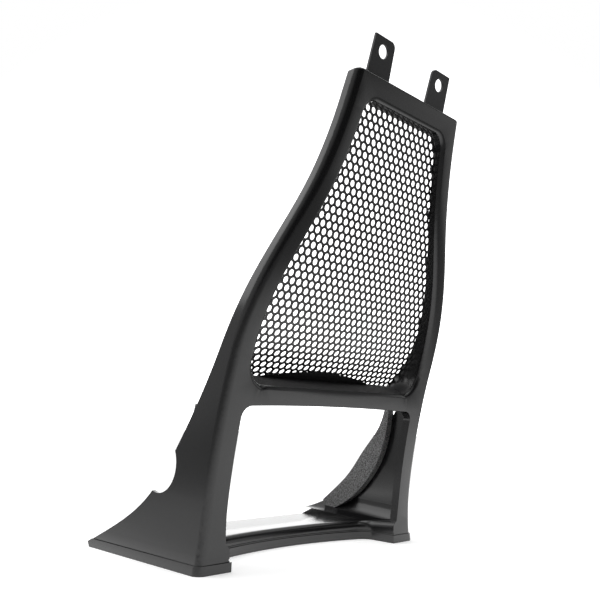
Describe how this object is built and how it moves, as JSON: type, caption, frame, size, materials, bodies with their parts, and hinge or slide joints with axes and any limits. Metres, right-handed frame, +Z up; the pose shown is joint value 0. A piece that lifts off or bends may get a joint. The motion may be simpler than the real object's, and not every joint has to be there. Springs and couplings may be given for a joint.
{
  "type": "motorcycle radiator guard",
  "caption": "Moulded black fairing shell with a waisted window over a perforated screen, an air opening between two legs, a floor pan between side wings and steel mounting tabs.",
  "frame": {"origin": "on the symmetry plane, on the floor, in the middle of the front lip's underside", "axes": "+X across the guard to the side without the relief, +Y to the rear, towards the radiator, +Z up"},
  "size_m": [0.2534, 0.2542, 0.4078],
  "materials": {
    "shell_plastic": "black moulded plastic, half gloss",
    "screen_metal": "perforated sheet, black coated, satin",
    "tab_metal": "steel strip, dark satin coat",
    "fastener_steel": "blackened button-head screws and plain washers",
    "foam": "grey open-cell foam strip with a speckled face"
  },
  "bodies": {
    "root": {"fairing_shell": "shell_plastic", "mesh_screen": "screen_metal", "mounting_tab_left": "tab_metal", "mounting_tab_right": "tab_metal", "tab_screws": "fastener_steel", "tab_washers": "fastener_steel", "screen_screws": "fastener_steel", "screen_washers": "fastener_steel", "foam_strip_right": "foam", "foam_strip_left_upper": "foam", "foam_strip_left_lower": "foam"}
  },
  "joints": []
}
